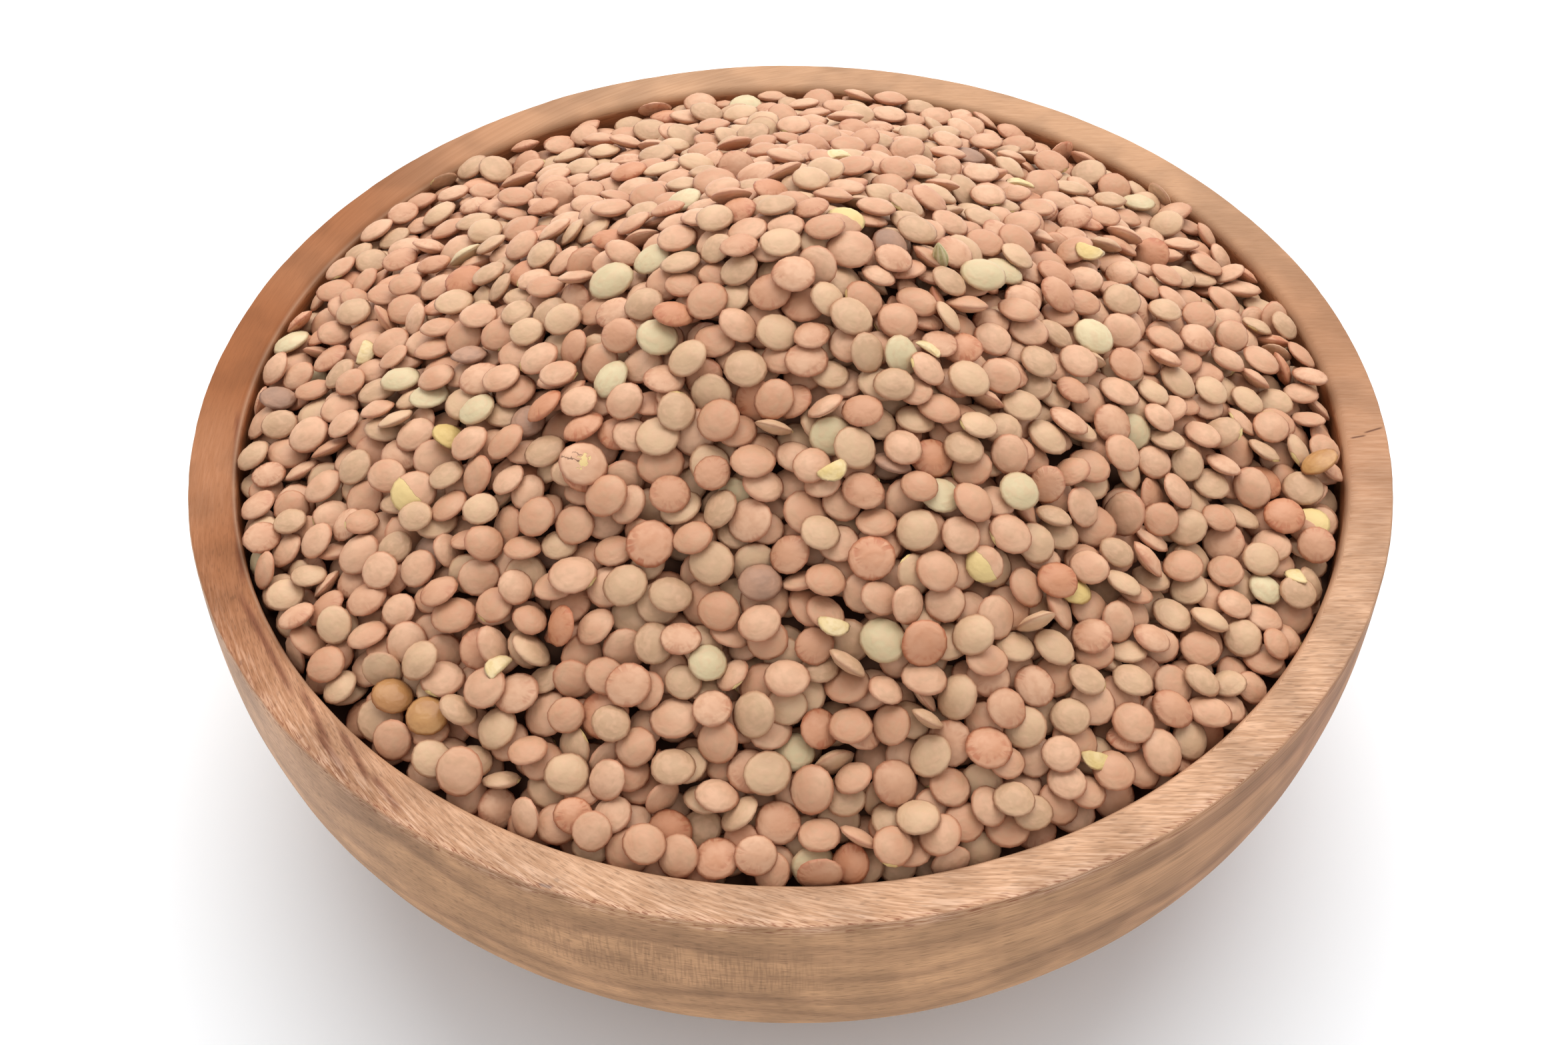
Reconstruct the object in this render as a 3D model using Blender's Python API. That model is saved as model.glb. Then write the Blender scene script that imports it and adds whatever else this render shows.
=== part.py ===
"""A turned wooden bowl heaped with dry lentils.

Units are metres and +Z is up. The origin is the centre of the bowl's underside.
The bowl is one turned solid. The lentils are one solid too: a core that fills the
bowl and rises to a blunt cone, with lentils of true size fused to its surface.
"""

import math
import random

import bmesh
import bpy
from mathutils import Matrix, Vector

# Bowl
RIM_RADIUS = 0.100
BOWL_HEIGHT = 0.066
BASE_RADIUS = 0.046
RIM_WIDTH = 0.0078
ARRIS = 0.0004
INNER_EDGE_ROUND = 0.0018
FLOOR_THICKNESS = 0.011
BOWL_SIDES = 64

# The two walls are cubic curves: each leaves the rim straight down and
# arrives along the slope it has at the bottom. These are their handles.
OUTER_DROP = 0.037
OUTER_SWEEP = 0.0493
BASE_SLOPE = math.radians(20.0)
INNER_DROP = 0.038
INNER_SWEEP = 0.072
OUTER_STEPS = 8
INNER_STEPS = 7
EDGE_STEPS = 2

# Heap, measured from the plane of the rim
INNER_RADIUS = RIM_RADIUS - RIM_WIDTH
APEX_HEIGHT = 0.042
WALL_LEVEL = -0.0033
APEX_BLUNTNESS = 0.010
WAVE_HEIGHT = 0.0007
WAVE_COUNT = 5
WAVE_START = 1.0

# Broad swells of the heap: plan place, spread and height
SWELLS = (
    ((0.025, -0.045), 0.020, 0.0035),
    ((0.057, -0.039), 0.013, -0.0035),
    ((-0.030, 0.035), 0.024, -0.0015),
    ((-0.055, -0.010), 0.018, 0.0012),
)

# Core of the heap
WALL_GAP = 0.00035
CORE_DEPTH = 0.0010
CORE_SIDES = BOWL_SIDES // 2
CORE_RINGS = 7

# Lentils that show on the core
LENTIL_COUNT = 248
LENTIL_DIAMETER = (0.0060, 0.0070)
LENTIL_THICKNESS = (0.0024, 0.0029)
LENTIL_SIDES = 6
LENTIL_CAP = 0.54
LENTIL_CAP_RISE = 0.86
LENTIL_LIFT = 0.0005
LENTIL_TILT = math.radians(24.0)
LENTIL_STRAY = 0.0016
LENTIL_WALL_GAP = 0.0005
LENTIL_OVAL = (0.90, 1.0)
GOLDEN_ANGLE = math.pi * (3.0 - math.sqrt(5.0))
SEED = 11

WELD = 1e-6
SMOOTH_ANGLE = math.radians(32.0)


def clear_scene():
    for thing in list(bpy.data.objects):
        bpy.data.objects.remove(thing, do_unlink=True)


def painted(name, color, roughness):
    material = bpy.data.materials.new(name)
    material.use_nodes = True
    shader = material.node_tree.nodes["Principled BSDF"]
    shader.inputs["Base Color"].default_value = (*color, 1.0)
    shader.inputs["Roughness"].default_value = roughness
    shader.inputs["Metallic"].default_value = 0.0
    return material


def curve_points(start, start_handle, end_handle, end, steps):
    """Points of a cubic curve, both ends included."""
    points = []
    for step in range(steps + 1):
        t = step / steps
        s = 1.0 - t
        points.append(
            s ** 3 * start
            + 3.0 * s * s * t * start_handle
            + 3.0 * s * t * t * end_handle
            + t ** 3 * end
        )
    return points


def outer_wall():
    """Outer side of the bowl as (radius, height), from the arris to the underside."""
    top = Vector((RIM_RADIUS, BOWL_HEIGHT - ARRIS))
    bottom = Vector((BASE_RADIUS, 0.0))
    drop = Vector((0.0, -OUTER_DROP))
    sweep = OUTER_SWEEP * Vector((math.cos(BASE_SLOPE), math.sin(BASE_SLOPE)))
    return curve_points(top, top + drop, bottom + sweep, bottom, OUTER_STEPS)


def inner_wall():
    """Inner side of the bowl as (radius, height), from below the rim to the middle."""
    top = Vector((INNER_RADIUS, BOWL_HEIGHT - INNER_EDGE_ROUND))
    middle = Vector((0.0, FLOOR_THICKNESS))
    drop = Vector((0.0, -INNER_DROP))
    sweep = Vector((INNER_SWEEP, 0.0))
    return curve_points(top, top + drop, middle + sweep, middle, INNER_STEPS)


def rim_edge():
    """Rounded inner edge of the rim, from its flat top to the inner wall."""
    centre = Vector((INNER_RADIUS + INNER_EDGE_ROUND, BOWL_HEIGHT - INNER_EDGE_ROUND))
    points = []
    for step in range(EDGE_STEPS):
        turn = 0.5 * math.pi * (1.0 + step / EDGE_STEPS)
        points.append(centre + INNER_EDGE_ROUND * Vector((math.cos(turn), math.sin(turn))))
    return points


def turned(name, outline, sides):
    """Closed surface of an outline of (radius, height) points turned about Z."""
    bm = bmesh.new()
    verts = [bm.verts.new((radius, 0.0, height)) for radius, height in outline]
    edges = [bm.edges.new(pair) for pair in zip(verts, verts[1:])]
    bmesh.ops.spin(
        bm,
        geom=verts + edges,
        cent=(0.0, 0.0, 0.0),
        axis=(0.0, 0.0, 1.0),
        angle=2.0 * math.pi,
        steps=sides,
        use_merge=True,
    )
    bmesh.ops.remove_doubles(bm, verts=bm.verts, dist=WELD)
    bmesh.ops.recalc_face_normals(bm, faces=bm.faces)
    mesh = bpy.data.meshes.new(name)
    bm.to_mesh(mesh)
    bm.free()
    return mesh


def add_object(name, mesh, collection):
    thing = bpy.data.objects.new(name, mesh)
    collection.objects.link(thing)
    return thing


def make_bowl():
    underside = [Vector((0.0, 0.0))]
    arris = [Vector((RIM_RADIUS - ARRIS, BOWL_HEIGHT))]
    outline = underside + outer_wall()[::-1] + arris + rim_edge() + inner_wall()
    bowl = add_object("bowl", turned("bowl", outline, BOWL_SIDES), bpy.context.scene.collection)
    bowl.data.materials.append(painted("turned wood", (0.62, 0.36, 0.21), 0.55))
    return bowl


def heap_height(x, y):
    """Height of the heap's surface above the bowl's underside."""
    radius = math.hypot(x, y)
    run = math.hypot(radius, APEX_BLUNTNESS) - APEX_BLUNTNESS
    full_run = math.hypot(INNER_RADIUS, APEX_BLUNTNESS) - APEX_BLUNTNESS
    height = APEX_HEIGHT + (WALL_LEVEL - APEX_HEIGHT) * run / full_run
    for (middle_x, middle_y), spread, rise in SWELLS:
        away = math.hypot(x - middle_x, y - middle_y) / spread
        height += rise * math.exp(-0.5 * away * away)
    turn = math.atan2(y, x)
    height += WAVE_HEIGHT * (radius / INNER_RADIUS) * math.sin(WAVE_COUNT * turn + WAVE_START)
    return BOWL_HEIGHT + height


def heap_normal(x, y):
    step = 0.002
    rise_x = heap_height(x + step, y) - heap_height(x - step, y)
    rise_y = heap_height(x, y + step) - heap_height(x, y - step)
    return Vector((-rise_x, -rise_y, 2.0 * step)).normalized()


def core_underside():
    """The bowl's inner wall moved inwards by the gap, from the middle outwards."""
    wall = inner_wall()
    points = [Vector((0.0, FLOOR_THICKNESS + WALL_GAP))]
    for before, here, after in reversed(list(zip(wall, wall[1:], wall[2:]))):
        along = (after - before).normalized()
        points.append(here + WALL_GAP * Vector((along.y, -along.x)))
    return points


def make_core(collection):
    reach = INNER_RADIUS - WALL_GAP
    top = []
    for ring in range(CORE_RINGS + 1):
        radius = reach * (1.0 - ring / CORE_RINGS)
        top.append(Vector((radius, BOWL_HEIGHT)))
    mesh = turned("lentils", core_underside() + top, CORE_SIDES)
    for vertex in mesh.vertices:
        if vertex.co.z > BOWL_HEIGHT - WELD:
            vertex.co.z = heap_height(vertex.co.x, vertex.co.y) - CORE_DEPTH
    return add_object("lentils", mesh, collection)


def lentil_mesh(diameter, thickness, oval):
    """One lentil: a faceted lens with a sharp edge, whose buried side ends in a tip."""
    bm = bmesh.new()
    loops = []
    for share, rise, offset in ((LENTIL_CAP, LENTIL_CAP_RISE, 0.5), (1.0, 0.0, 0.0)):
        loop = []
        for side in range(LENTIL_SIDES):
            turn = 2.0 * math.pi * (side + offset) / LENTIL_SIDES
            radius = 0.5 * diameter * share
            height = 0.5 * thickness * rise
            place = (radius * math.cos(turn), radius * oval * math.sin(turn), height)
            loop.append(bm.verts.new(place))
        loops.append(loop)
    cap, edge = loops
    tip = bm.verts.new((0.0, 0.0, -0.5 * thickness))
    bm.faces.new(cap)
    for side in range(LENTIL_SIDES):
        after = (side + 1) % LENTIL_SIDES
        bm.faces.new((cap[side], edge[side], edge[after]))
        bm.faces.new((cap[side], edge[after], cap[after]))
        bm.faces.new((tip, edge[after], edge[side]))
    mesh = bpy.data.meshes.new("lentil")
    bm.to_mesh(mesh)
    bm.free()
    return mesh


def lentil_place(index, radius, draw):
    """Where lentil number index lies, and how it leans."""
    reach = INNER_RADIUS - LENTIL_WALL_GAP - radius
    out = reach * math.sqrt((index + 0.5) / LENTIL_COUNT)
    turn = index * GOLDEN_ANGLE
    spot = out * Vector((math.cos(turn), math.sin(turn)))
    spot += LENTIL_STRAY * Vector((draw.uniform(-1.0, 1.0), draw.uniform(-1.0, 1.0)))
    if spot.length > reach:
        spot *= reach / spot.length
    upright = heap_normal(*spot)
    lean = Matrix.Rotation(draw.uniform(0.0, LENTIL_TILT), 3, upright.orthogonal())
    spin = Matrix.Rotation(draw.uniform(0.0, 2.0 * math.pi), 3, upright)
    facing = (spin @ lean @ upright).to_track_quat("Z", "Y").to_matrix()
    own_turn = Matrix.Rotation(draw.uniform(0.0, 2.0 * math.pi), 3, "Z")
    height = heap_height(*spot) - CORE_DEPTH + LENTIL_LIFT
    return Matrix.Translation((*spot, height)) @ (facing @ own_turn).to_4x4()


def scatter_lentils(collection):
    draw = random.Random(SEED)
    for index in range(LENTIL_COUNT):
        diameter = draw.uniform(*LENTIL_DIAMETER)
        thickness = draw.uniform(*LENTIL_THICKNESS)
        mesh = lentil_mesh(diameter, thickness, draw.uniform(*LENTIL_OVAL))
        mesh.transform(lentil_place(index, 0.5 * diameter, draw))
        add_object("lentil", mesh, collection)


def fuse(core, pieces):
    """Join every object of the collection to the core, and remove them."""
    union = core.modifiers.new("fuse", "BOOLEAN")
    union.operation = "UNION"
    union.operand_type = "COLLECTION"
    union.collection = pieces
    union.solver = "EXACT"
    bpy.context.view_layer.objects.active = core
    bpy.ops.object.modifier_apply(modifier=union.name)
    for piece in list(pieces.objects):
        bpy.data.objects.remove(piece, do_unlink=True)
    bpy.data.collections.remove(pieces)


def make_lentils():
    core = make_core(bpy.context.scene.collection)
    pieces = bpy.data.collections.new("loose lentils")
    bpy.context.scene.collection.children.link(pieces)
    scatter_lentils(pieces)
    fuse(core, pieces)
    core.data.materials.clear()
    core.data.materials.append(painted("lentil skin", (0.56, 0.36, 0.25), 0.6))
    return core


def shade_smooth(thing):
    thing.data.shade_smooth()
    thing.data.set_sharp_from_angle(angle=SMOOTH_ANGLE)


def main():
    clear_scene()
    for thing in (make_bowl(), make_lentils()):
        shade_smooth(thing)


main()
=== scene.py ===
"""A turned wooden bowl heaped with dry lentils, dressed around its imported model.

Run as a script, it registers its settings and operators, calls each operator in turn
and leaves the finished scene. Units are metres and +Z is up. The origin is the centre
of the bowl's underside, and the camera looks along +Y.
"""

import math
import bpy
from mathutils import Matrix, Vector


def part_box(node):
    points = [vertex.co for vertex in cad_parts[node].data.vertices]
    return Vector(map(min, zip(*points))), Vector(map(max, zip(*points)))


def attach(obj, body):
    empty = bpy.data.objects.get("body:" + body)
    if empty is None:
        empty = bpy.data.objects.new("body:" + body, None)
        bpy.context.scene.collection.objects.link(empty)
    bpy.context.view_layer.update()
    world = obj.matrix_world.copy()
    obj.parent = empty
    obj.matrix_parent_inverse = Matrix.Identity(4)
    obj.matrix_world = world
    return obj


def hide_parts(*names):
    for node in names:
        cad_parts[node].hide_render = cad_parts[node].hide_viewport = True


bl_info = {
    "name": "Lentil Bowl",
    "version": (1, 0, 0),
    "blender": (4, 5, 0),
    "location": "3D View > Sidebar > Lentil Bowl",
    "description": "Builds a turned wooden bowl heaped with dry lentils",
    "category": "Add Mesh",
}

import bmesh
import bpy
import numpy as np
from mathutils import Matrix, Vector

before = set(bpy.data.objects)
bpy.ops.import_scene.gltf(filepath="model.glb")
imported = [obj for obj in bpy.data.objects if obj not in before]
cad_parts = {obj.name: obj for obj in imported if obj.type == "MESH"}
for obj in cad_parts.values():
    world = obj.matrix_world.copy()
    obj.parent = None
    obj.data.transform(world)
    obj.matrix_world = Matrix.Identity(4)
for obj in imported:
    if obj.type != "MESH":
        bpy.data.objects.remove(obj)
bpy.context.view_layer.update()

BOWL_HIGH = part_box("bowl")[1]
RIM_RADIUS = BOWL_HIGH.x
BOWL_HEIGHT = BOWL_HIGH.z

# Forms that the solids share, measured from the plane of the rim
RIM_WIDTH = 0.0078
INNER_RADIUS = RIM_RADIUS - RIM_WIDTH
INNER_EDGE_ROUND = 0.0018
BASE_RADIUS = 0.046
FLOOR_THICKNESS = 0.011
OUTER_DROP = 0.037
OUTER_SWEEP = 0.0493
BASE_SLOPE = math.radians(20.0)
INNER_DROP = 0.038
INNER_SWEEP = 0.072
APEX_HEIGHT = 0.042
WALL_LEVEL = -0.0033
APEX_BLUNTNESS = 0.010
WAVE_HEIGHT = 0.0007
WAVE_COUNT = 5
WAVE_START = 1.0
SWELLS = (
    ((0.025, -0.045), 0.020, 0.0035),
    ((0.057, -0.039), 0.013, -0.0035),
    ((-0.030, 0.035), 0.024, -0.0015),
    ((-0.055, -0.010), 0.018, 0.0012),
)

# Height map on which the lentils settle
CELL = 0.0004
REACH = 10
MAP_MARGIN = 12
BLOCK = 5
SHIFT_RINGS = (2, 4)
SHIFTS_ROUND = 8
WALL_CLEARANCE = 0.0003
CONTACT_EASE = 0.00012
LIE_FLATTER = 0.05
BLOCKED = 0.03
SINK = 0.0006
WALL_BANK = 0.080
BANK_RISE = 0.0024

# Single lentils that catch the eye, by kind and place in plan in millimetres
NAMED_PLACES = {
    "split": ((-55, -20), (43, -49)),
    "burst": ((29, -48), (-60, -27), (9, 4), (85, -25)),
    "pale": (
        (36, -38), (22, -41), (18, -19), (49, -3), (-22, 4), (-26, -20), (-27, 1),
        (-56, 26), (-58, -10), (32, 0), (-22, -16), (7, -32), (-9, 86), (51, 21),
    ),
    "rosy": ((28, -15), (-37, -21), (-19, -14), (-22, -47), (-7, 10), (-30, -27), (-31, -80), (-33, -57)),
    "dark": ((-53, -6), (14, 2), (-6, -53)),
    "amber": ((-61, -62), (-55, -66)),
}
# Broken bits that lie on the others, and lentils that lean on the rim
BIT_PLACES = {
    "chip": (
        (43, -72), (5, -59), (21, -20), (7, -38), (7, 36), (51, 21), (39, 46),
        (-71, 8), (81, -36), (-43, -60),
    ),
    "cracked": ((-33, -34),),
}
RIM_PLACES = {"amber": ((88, -13),)}
BITS_SUNK = 0.0007

# Stray bits on the heap, by place in plan in millimetres
SEED_PLACE = (24, 2)
GRIT_PLACE = (-47.8, 38.0)
MILLIMETRE = 0.001

PHOTO_WIDTH = 2352


def curve_points(start, start_handle, end_handle, end, steps):
    """Points of a cubic curve as rows of an array, both ends included."""
    t = np.linspace(0.0, 1.0, steps + 1)[:, None]
    s = 1.0 - t
    near = s ** 3 * np.array(start) + 3.0 * s * s * t * np.array(start_handle)
    far = 3.0 * s * t * t * np.array(end_handle) + t ** 3 * np.array(end)
    return near + far


def heap_height(x, y):
    """Height of the heap's surface above the bowl's underside."""
    radius = np.hypot(x, y)
    run = np.hypot(radius, APEX_BLUNTNESS) - APEX_BLUNTNESS
    full_run = math.hypot(INNER_RADIUS, APEX_BLUNTNESS) - APEX_BLUNTNESS
    height = APEX_HEIGHT + (WALL_LEVEL - APEX_HEIGHT) * run / full_run
    for (middle_x, middle_y), spread, rise in SWELLS:
        away = np.hypot(x - middle_x, y - middle_y) / spread
        height = height + rise * np.exp(-0.5 * away * away)
    turn = np.arctan2(y, x)
    wave = np.sin(WAVE_COUNT * turn + WAVE_START)
    return BOWL_HEIGHT + height + WAVE_HEIGHT * (radius / INNER_RADIUS) * wave


# How deep the fullest relief is pressed into a surface
RELIEF_DEPTH = 0.0003


class Graph:
    """Adds nodes to one tree and joins them up as they are made."""

    def __init__(self, tree):
        self.tree = tree

    def node(self, kind, sockets=None, **settings):
        """One node. Sockets map a name or number to another socket or to a value."""
        made = self.tree.nodes.new(kind)
        for name, value in settings.items():
            setattr(made, name, value)
        for key, value in (sockets or {}).items():
            if isinstance(value, bpy.types.NodeSocket):
                self.tree.links.new(value, made.inputs[key])
            else:
                made.inputs[key].default_value = value
        return made

    def math(self, operation, first, second=0.0):
        sockets = {0: first, 1: second}
        return self.node("ShaderNodeMath", sockets, operation=operation).outputs[0]

    def times(self, first, *others):
        for other in others:
            first = self.math("MULTIPLY", first, other)
        return first

    def plus(self, first, *others):
        for other in others:
            first = self.math("ADD", first, other)
        return first

    def minus(self, first, second):
        return self.math("SUBTRACT", first, second)

    def most(self, first, *others):
        for other in others:
            first = self.math("MAXIMUM", first, other)
        return first

    def vector(self, operation, first, second=(0.0, 0.0, 0.0)):
        sockets = {0: first, 1: second}
        return self.node("ShaderNodeVectorMath", sockets, operation=operation).outputs[0]

    def scaled(self, vector, scale):
        sockets = {0: vector, "Scale": scale}
        return self.node("ShaderNodeVectorMath", sockets, operation="SCALE").outputs[0]

    def length(self, vector):
        return self.node("ShaderNodeVectorMath", {0: vector}, operation="LENGTH").outputs["Value"]

    def split(self, vector):
        return self.node("ShaderNodeSeparateXYZ", {0: vector}).outputs

    def joined(self, x, y, z):
        return self.node("ShaderNodeCombineXYZ", {0: x, 1: y, 2: z}).outputs[0]

    def noise(self, vector, scale, detail=2.0, roughness=0.5, distortion=0.0):
        sockets = {
            "Vector": vector,
            "Scale": scale,
            "Detail": detail,
            "Roughness": roughness,
            "Distortion": distortion,
        }
        return self.node("ShaderNodeTexNoise", sockets).outputs[0]

    def rise(self, value, low, high, start=0.0, end=1.0):
        """Start at or below low, end at or above high, and smooth in between."""
        sockets = {"Value": value, "From Min": low, "From Max": high, "To Min": start, "To Max": end}
        node = self.node("ShaderNodeMapRange", sockets, interpolation_type="SMOOTHSTEP")
        return node.outputs[0]

    def between(self, value, low, high, soft):
        """1 between low and high, with soft edges inside them."""
        return self.times(self.rise(value, low, low + soft), self.rise(value, high - soft, high, 1.0, 0.0))

    def blend(self, share, first, second):
        sockets = {0: share, 6: first, 7: second}
        return self.node("ShaderNodeMix", sockets, data_type="RGBA").outputs[2]

    def attribute(self, name):
        return self.node("ShaderNodeAttribute", attribute_name=name).outputs

    def paint(self, shader, color):
        self.tree.links.new(color, shader.inputs["Base Color"])

    def emboss(self, shader, relief, strength):
        sockets = {"Strength": strength, "Distance": RELIEF_DEPTH, "Height": relief}
        bump = self.node("ShaderNodeBump", sockets)
        self.tree.links.new(bump.outputs[0], shader.inputs["Normal"])


def new_material(name, roughness, specular):
    """A material with an empty Principled shader, as (material, graph, shader)."""
    material = bpy.data.materials.new(name)
    material.use_nodes = True
    shader = material.node_tree.nodes["Principled BSDF"]
    shader.inputs["Roughness"].default_value = roughness
    shader.inputs["Specular IOR Level"].default_value = specular
    return material, Graph(material.node_tree), shader


def new_tree(name, inputs):
    """A Geometry Nodes tree with geometry in and out and named inputs."""
    tree = bpy.data.node_groups.new(name, "GeometryNodeTree")
    tree.interface.new_socket("Geometry", in_out="INPUT", socket_type="NodeSocketGeometry")
    tree.interface.new_socket("Geometry", in_out="OUTPUT", socket_type="NodeSocketGeometry")
    for label, (kind, value) in inputs.items():
        socket = tree.interface.new_socket(label, in_out="INPUT", socket_type=kind)
        if value is not None:
            socket.default_value = value
    return tree


def new_object(name, data):
    made = bpy.data.objects.new(name, data)
    bpy.context.scene.collection.objects.link(made)
    return made


def grown(name, tree, mesh, values):
    """Run a tree on a mesh with its named inputs set, and keep the result as a plain mesh."""
    piece = new_object(name, mesh)
    modifier = piece.modifiers.new(tree.name, "NODES")
    modifier.node_group = tree
    for item in tree.interface.items_tree:
        if item.in_out == "INPUT" and item.name in values:
            modifier[item.identifier] = values[item.name]
    bpy.context.view_layer.update()
    depsgraph = bpy.context.evaluated_depsgraph_get()
    result = bpy.data.meshes.new_from_object(piece.evaluated_get(depsgraph))
    piece.modifiers.remove(modifier)
    piece.data = result
    result.name = name
    return piece


def mesh_piece(name, verts, faces, material):
    """A smooth piece from plain lists of corners and faces."""
    mesh = bpy.data.meshes.new(name)
    mesh.from_pydata(verts, [], faces)
    mesh.validate()
    mesh.materials.append(material)
    mesh.shade_smooth()
    return new_object(name, mesh)


def place_on_model(piece, slot, *nodes):
    """The piece rides with the bowl and stands for the solids named."""
    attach(piece, "root")
    if nodes:
        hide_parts(*nodes)


def color_setting(label, description, color):
    return bpy.props.FloatVectorProperty(
        name=label, description=description, default=color, size=3, min=0.0, max=1.0, subtype="COLOR")


def length_setting(label, description, default, low=0.0, precision=4):
    return bpy.props.FloatProperty(
        name=label, description=description, default=default, min=low,
        unit="LENGTH", subtype="DISTANCE", precision=precision)


def angle_setting(label, description, degrees):
    return bpy.props.FloatProperty(
        name=label, description=description, default=math.radians(degrees), unit="ROTATION", subtype="ANGLE")


def share_setting(label, description, default):
    return bpy.props.FloatProperty(
        name=label, description=description, default=default, min=0.0, max=1.0, subtype="FACTOR")


class BowlSettings(bpy.types.PropertyGroup):
    """Sizes and colours of the turned bowl."""

    rim_radius: length_setting("Rim Radius", "Outside radius of the rim", RIM_RADIUS, 0.02)
    height: length_setting("Height", "Height of the bowl", BOWL_HEIGHT, 0.01)
    sides: bpy.props.IntProperty(
        name="Sides", description="Segments around the bowl", default=560, min=48)
    wear: length_setting("Edge Wear", "How far the rim's outer edge is worn and torn", 0.00016, precision=5)
    rim_light: color_setting("Rim Light Wood", "Light fibres on the rim's flat top", (0.57, 0.35, 0.225))
    rim_deep: color_setting("Rim Deep Wood", "Reddish wood between the light fibres", (0.46, 0.25, 0.14))
    rim_back: color_setting("Rim Back Wood", "Wood at the back and right of the rim", (0.42, 0.235, 0.13))
    # Also blended into the inner wall below the rim as painted shade
    heartwood_and_inner_shade: color_setting("Rim Left Wood", "Redder heartwood on the left of the rim", (0.285, 0.10, 0.036))
    wall_light: color_setting("Wall Light Wood", "Light bands of the outer wall", (0.50, 0.278, 0.147))
    wall_deep: color_setting("Wall Deep Wood", "Greyish tan bands of the outer wall", (0.33, 0.179, 0.098))
    # Painted shade: the wall's right is blended towards this browner, darker wood
    wall_right_shade: color_setting("Wall Right Wood", "Browner bands on the wall's right", (0.36, 0.168, 0.10))
    torn: color_setting("Torn Fibres", "Pale rough fibres along the rim's outer edge", (0.62, 0.40, 0.28))
    streak: color_setting("Streaks", "Dark red streaks on the left of the rim", (0.15, 0.042, 0.02))
    pore: color_setting("Cracks", "Open cracks in the rim", (0.12, 0.045, 0.025))


class LentilSettings(bpy.types.PropertyGroup):
    """Sizes, number and colours of the lentils."""

    seed: bpy.props.IntProperty(name="Seed", description="Draw of sizes, places and colours", default=5)
    radius: length_setting("Radius", "Mean radius of a lentil", 0.00338, 0.001, 5)
    radius_spread: length_setting("Radius Spread", "How much the radius varies", 0.00022, precision=5)
    thickness: share_setting("Thickness", "Thickness as a share of the diameter", 0.355)
    lean: angle_setting("Lean", "Usual tilt of a lentil from the slope", 19.0)
    wedged: share_setting("Wedged", "Share of lentils that stand on edge", 0.08)
    depth: length_setting("Depth", "Depth of the loose layer over the bed", 0.0052, 0.002)
    pink_light: color_setting("Pink Tan", "Light skins", (0.64, 0.37, 0.228))
    pink_deep: color_setting("Deep Pink Tan", "Deeper skins", (0.515, 0.252, 0.140))
    olive_light: color_setting("Olive Tan", "Light greenish skins", (0.60, 0.385, 0.225))
    olive_deep: color_setting("Deep Olive Tan", "Deeper greenish skins", (0.47, 0.28, 0.158))
    rosy_light: color_setting("Rosy", "Wrinkled reddish skins", (0.605, 0.31, 0.182))
    rosy_deep: color_setting("Deep Rosy", "Veins of the wrinkled skins", (0.505, 0.215, 0.107))
    pale_light: color_setting("Pale", "Unripe pale skins", (0.64, 0.52, 0.31))
    pale_deep: color_setting("Deep Pale", "Greenish pale skins", (0.54, 0.42, 0.24))
    dark_light: color_setting("Dark", "Reddish brown skins", (0.42, 0.225, 0.14))
    dark_deep: color_setting("Deep Dark", "Dark brown skins", (0.27, 0.15, 0.095))
    amber_light: color_setting("Amber", "Glossy orange brown skins", (0.52, 0.275, 0.10))
    amber_deep: color_setting("Deep Amber", "Deeper orange brown skins", (0.38, 0.17, 0.058))
    split_light: color_setting("Split", "Bare yellow seed halves", (0.64, 0.455, 0.175))
    split_deep: color_setting("Deep Split", "Yellow of the rounded side", (0.55, 0.375, 0.125))


class StageSettings(bpy.types.PropertyGroup):
    """Camera, floor and lights."""

    distance: length_setting("Camera Distance", "From the middle of the rim to the camera", 0.3981, 0.1)
    elevation: angle_setting("Elevation", "Height of the camera's place over the rim, as an angle", 44.837)
    dip: angle_setting("Dip", "How far the camera looks below the middle of the rim", 2.416)
    pan: angle_setting("Pan", "How far the camera looks to the left", 0.217)
    focal_pixels: bpy.props.FloatProperty(
        name="Focal Length", description="Focal length in pixels of the full picture",
        default=3545.8, min=100.0)
    window_power: bpy.props.FloatProperty(
        name="Window Power", description="Power of the window's light", default=24.5, min=0.0, unit="POWER")
    room_strength: bpy.props.FloatProperty(
        name="Room Strength", description="Strength of the light from the pale room", default=0.84, min=0.0)
    floor_color: color_setting("Floor", "Colour of the floor", (0.90, 0.92, 0.94))


class LentilBowlSettings(bpy.types.PropertyGroup):
    """All settings of the lentil bowl."""

    bowl: bpy.props.PointerProperty(type=BowlSettings)
    lentils: bpy.props.PointerProperty(type=LentilSettings)
    stage: bpy.props.PointerProperty(type=StageSettings)


def opaque(color):
    return (color[0], color[1], color[2], 1.0)


# Turned bowl

OUTER_EDGE_ROUND = 0.0005
WELD_DISTANCE = 0.00002
# Length of a curve's handles on a quarter of a circle, as a share of its radius
QUARTER_HANDLE = 0.5523
# Counts per metre of the torn places and of the unevenness left by the gouge
TEAR_COUNT = 420.0
UNEVEN_COUNT = 60.0
UNEVENNESS = 0.0003
# How far in and down from the arris its wear begins and is full
WORN_IN = (0.0022, 0.0004)
WORN_DOWN = (0.0016, 0.0003)
# Heights between which the unevenness sets in, so that the base stays flat
UNEVEN_FROM = (0.0002, 0.004)
# Steps along each run of the outline
UNDERSIDE_STEPS = 12
OUTER_WALL_STEPS = 56
ARRIS_STEPS = 5
RIM_TOP_STEPS = 14
INNER_EDGE_STEPS = 8
INNER_WALL_STEPS = 30
# Middle of the grain's rings in plan, in millimetres
GRAIN_MIDDLE = (26.0, -5.0)
# Counts per millimetre across and along the fibres, and the detail, of the broad and the fine grain
BROAD_GRAIN = (2.0, 0.14, 2.0)
FINE_GRAIN = (6.0, 0.55, 0.0)
# Counts per millimetre of the slow change of tone and of the rim's mottling
SLOW_COUNT = 0.03
MOTTLE_COUNT = 0.11


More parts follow.
